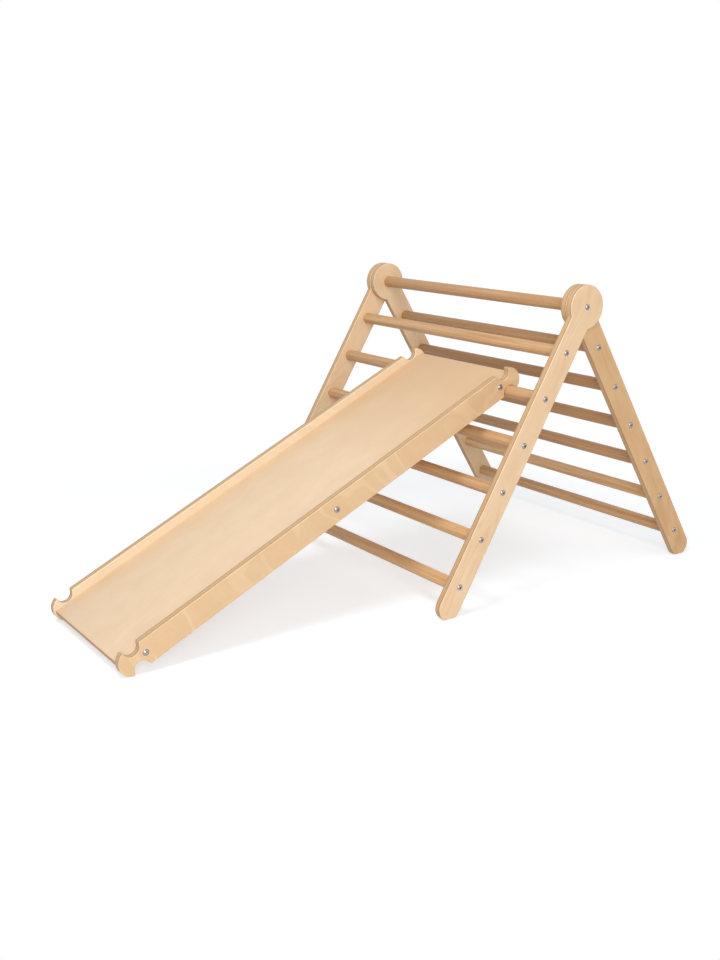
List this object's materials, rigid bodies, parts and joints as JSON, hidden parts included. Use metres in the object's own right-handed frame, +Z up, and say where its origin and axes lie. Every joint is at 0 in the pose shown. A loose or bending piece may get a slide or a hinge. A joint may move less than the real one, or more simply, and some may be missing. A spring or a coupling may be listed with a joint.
{
  "type": "climbing gym",
  "caption": "Folding wooden A-frame climbing gym with dowel rungs, and a two-sided ramp with raised side rails that hooks over a rung and rests on the floor.",
  "frame": {"origin": "on the floor, under the middle of the footprint's bounding box", "axes": "+X from the ramp's foot to the rear ladder, +Y along the rungs to the left, +Z up"},
  "size_m": [1.5793, 0.8512, 0.741],
  "materials": {
    "birch_plywood": "clear satin lacquer",
    "beech": "clear satin lacquer",
    "chrome_screws": "polished",
    "steel": "zinc plated"
  },
  "bodies": {
    "front_ladder": {"front_rail_right": "birch_plywood", "front_rail_left": "birch_plywood", "front_rung_1": "beech", "front_rung_2": "beech", "front_rung_3": "beech", "front_rung_4": "beech", "front_rung_5": "beech", "front_rung_6": "beech", "front_screws_right": "chrome_screws", "front_screws_left": "chrome_screws"},
    "rear_ladder": {"rear_rail_right": "birch_plywood", "rear_rail_left": "birch_plywood", "top_rung": "beech", "rear_rung_1": "beech", "rear_rung_2": "beech", "rear_rung_3": "beech", "rear_rung_4": "beech", "rear_rung_5": "beech", "rear_rung_6": "beech", "rear_screws_right": "chrome_screws", "rear_screws_left": "chrome_screws", "hinge_bolt_right": "chrome_screws", "hinge_bolt_left": "chrome_screws", "hinge_insert_right": "steel", "hinge_insert_left": "steel", "stop_pin_right": "steel", "stop_pin_left": "steel"},
    "ramp": {"ramp_side_right": "birch_plywood", "ramp_side_left": "birch_plywood", "ramp_board": "birch_plywood", "ramp_batten_1": "beech", "ramp_batten_2": "beech", "ramp_batten_3": "beech", "ramp_batten_4": "beech", "ramp_batten_5": "beech", "ramp_screws_right": "chrome_screws", "ramp_screws_left": "chrome_screws"}
  },
  "joints": [
    {"name": "frame_fold", "type": "hinge", "parent": "front_ladder", "child": "rear_ladder", "pos_m": [0.36155, 0, 0.68903], "axis": [0, 1, 0], "range_deg": [0, 39.2]},
    {"name": "ramp_tilt", "type": "hinge", "parent": "front_ladder", "child": "ramp", "pos_m": [0.23794, 0, 0.48331], "axis": [0, 1, 0], "range_deg": [0, 45]}
  ]
}
